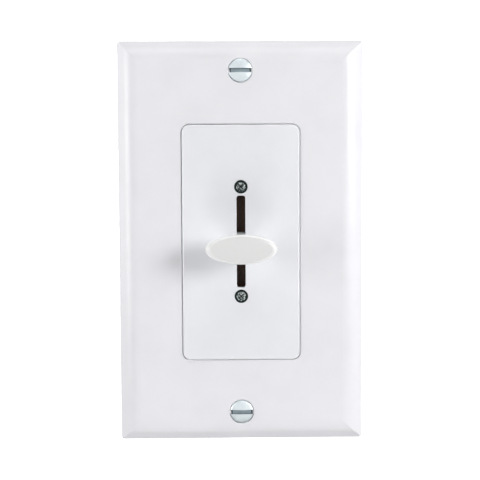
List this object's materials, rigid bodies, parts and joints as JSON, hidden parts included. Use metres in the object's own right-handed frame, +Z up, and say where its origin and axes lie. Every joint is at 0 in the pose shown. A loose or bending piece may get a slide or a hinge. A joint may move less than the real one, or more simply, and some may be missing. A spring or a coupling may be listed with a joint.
{
  "type": "slide dimmer switch",
  "caption": "Wall dimmer with an oval knob that slides in a vertical slot, on a flat insert in a bevelled single-gang wall plate.",
  "frame": {"origin": "middle of the device, on the wall surface: the plane of the wall plate's back rim", "axes": "+X to the right as the face is seen, +Y into the wall, +Z up; the face looks along -Y"},
  "size_m": [0.0698, 0.0398, 0.1142],
  "materials": {
    "plate_plastic": "satin moulded white",
    "insert_plastic": "satin moulded white",
    "knob_plastic": "satin moulded white",
    "bright_zinc": "bright zinc plate",
    "zinc_steel": "zinc plate",
    "strap_steel": "zinc-plated sheet",
    "fibre": "fibre sheet",
    "blackened_steel": "blackened",
    "pot_steel": "folded sheet",
    "phenolic": "phenolic paper laminate",
    "carbon": "carbon film",
    "silver_film": "silver film",
    "tinned_brass": "tinned",
    "carriage_plastic": "acetal",
    "lever_steel": "nickel-plated strip",
    "spring_bronze": "phosphor bronze",
    "board_laminate": "solder mask",
    "sink_aluminium": "extruded",
    "chip_epoxy": "moulded epoxy",
    "capacitor_sleeve": "heat-shrunk sleeve",
    "fuse_resin": "dipped resin",
    "resistor_ceramic": "glazed alumina",
    "capacitor_ceramic": "ceramic",
    "trimmer_plastic": "moulded",
    "rotor_plastic": "moulded",
    "terminal_plastic": "polyamide",
    "housing_plastic": "fine-textured moulding",
    "cage_brass": "nickel-plated brass"
  },
  "bodies": {
    "base": {"wall_plate": "plate_plastic", "front_insert": "insert_plastic", "plate_screws": "bright_zinc", "box_screws": "zinc_steel", "mounting_strap": "strap_steel", "screw_retainers": "fibre", "potentiometer_screws": "blackened_steel", "pot_frame": "pot_steel", "pot_element_board": "phenolic", "pot_resistive_tracks": "carbon", "pot_collector_tracks": "silver_film", "pot_terminals": "tinned_brass", "terminal_pins": "tinned_brass", "circuit_board": "board_laminate", "board_screws": "zinc_steel", "housing_screws": "zinc_steel", "heat_sink_screw": "zinc_steel", "heat_sink": "sink_aluminium", "mosfet": "chip_epoxy", "driver_ic": "chip_epoxy", "voltage_regulator": "chip_epoxy", "protection_diode": "chip_epoxy", "bulk_capacitor": "capacitor_sleeve", "resettable_fuse": "fuse_resin", "chip_resistors": "resistor_ceramic", "ceramic_capacitors": "capacitor_ceramic", "trimmer_body": "trimmer_plastic", "terminal_block": "terminal_plastic", "rear_housing": "housing_plastic"},
    "slider": {"slide_knob": "knob_plastic", "pot_lever": "lever_steel", "pot_carriage": "carriage_plastic", "level_wiper": "spring_bronze", "off_wiper": "spring_bronze"},
    "trimmer": {"trimmer_rotor": "rotor_plastic"},
    "clamp_screw_1": {"terminal_screw_1": "zinc_steel"},
    "clamp_cage_1": {"terminal_cage_1": "cage_brass"},
    "clamp_screw_2": {"terminal_screw_2": "zinc_steel"},
    "clamp_cage_2": {"terminal_cage_2": "cage_brass"},
    "clamp_screw_3": {"terminal_screw_3": "zinc_steel"},
    "clamp_cage_3": {"terminal_cage_3": "cage_brass"},
    "clamp_screw_4": {"terminal_screw_4": "zinc_steel"},
    "clamp_cage_4": {"terminal_cage_4": "cage_brass"}
  },
  "joints": [
    {"name": "dimmer_slide", "type": "slide", "parent": "base", "child": "slider", "axis": [0, 0, 1], "range_m": [-0.00835, 0.01165]},
    {"name": "trimmer_turn", "type": "hinge", "parent": "base", "child": "trimmer", "pos_m": [-0.0115, 0.009, -0.0235], "axis": [0, 1, 0], "range_deg": [-135, 135]},
    {"name": "clamp_1_rise", "type": "slide", "parent": "base", "child": "clamp_cage_1", "axis": [0, 1, 0], "range_m": [0, 0.0016]},
    {"name": "clamp_1_turn", "type": "hinge", "parent": "base", "child": "clamp_screw_1", "pos_m": [-0.0027, 0.0145, -0.0266], "axis": [0, 1, 0], "range_deg": [-1153, 0]},
    {"name": "clamp_2_rise", "type": "slide", "parent": "base", "child": "clamp_cage_2", "axis": [0, 1, 0], "range_m": [0, 0.0016]},
    {"name": "clamp_2_turn", "type": "hinge", "parent": "base", "child": "clamp_screw_2", "pos_m": [0.00238, 0.0145, -0.0266], "axis": [0, 1, 0], "range_deg": [-1153, 0]},
    {"name": "clamp_3_rise", "type": "slide", "parent": "base", "child": "clamp_cage_3", "axis": [0, 1, 0], "range_m": [0, 0.0016]},
    {"name": "clamp_3_turn", "type": "hinge", "parent": "base", "child": "clamp_screw_3", "pos_m": [0.00746, 0.0145, -0.0266], "axis": [0, 1, 0], "range_deg": [-1153, 0]},
    {"name": "clamp_4_rise", "type": "slide", "parent": "base", "child": "clamp_cage_4", "axis": [0, 1, 0], "range_m": [0, 0.0016]},
    {"name": "clamp_4_turn", "type": "hinge", "parent": "base", "child": "clamp_screw_4", "pos_m": [0.01254, 0.0145, -0.0266], "axis": [0, 1, 0], "range_deg": [-1153, 0]}
  ],
  "couplings": [
    {"joint": "clamp_1_turn", "follows": "clamp_1_rise", "rad_per_m": -12566},
    {"joint": "clamp_2_turn", "follows": "clamp_2_rise", "rad_per_m": -12566},
    {"joint": "clamp_3_turn", "follows": "clamp_3_rise", "rad_per_m": -12566},
    {"joint": "clamp_4_turn", "follows": "clamp_4_rise", "rad_per_m": -12566}
  ]
}
